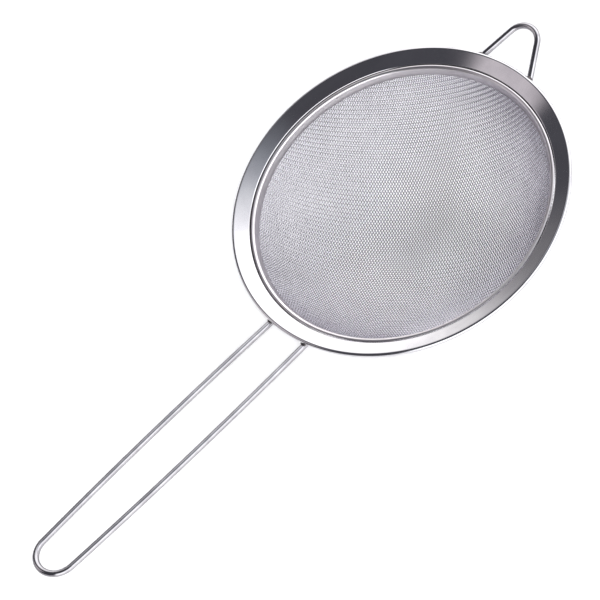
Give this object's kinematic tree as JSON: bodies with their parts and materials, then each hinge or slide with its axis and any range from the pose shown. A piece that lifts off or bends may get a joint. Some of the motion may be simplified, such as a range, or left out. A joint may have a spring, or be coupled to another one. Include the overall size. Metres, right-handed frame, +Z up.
{
  "type": "tea strainer",
  "caption": "Round fine-mesh tea strainer with a dished metal rim, a domed woven-wire bowl, a long hairpin wire handle and a small wire rest hook.",
  "frame": {"origin": "middle of the pressed flat under the bowl, which rests on a table", "axes": "+Z up out of the bowl's mouth, the handle points to -X and the rest hook to +X"},
  "size_m": [0.2043, 0.1, 0.0509],
  "materials": {
    "rim_steel": "pressed and polished stainless strip",
    "hem_steel": "pressed stainless strip, satin",
    "mesh_steel": "bright woven stainless wire",
    "wire_steel": "bright drawn stainless wire",
    "weld_steel": "heat-darkened spot weld"
  },
  "bodies": {
    "root": {"rim_ring": "rim_steel", "hem_ring": "hem_steel", "mesh_bowl": "mesh_steel", "handle_wire": "wire_steel", "hook_wire": "wire_steel", "handle_weld_left": "weld_steel", "handle_weld_right": "weld_steel", "hook_weld_left": "weld_steel", "hook_weld_right": "weld_steel"}
  },
  "joints": []
}
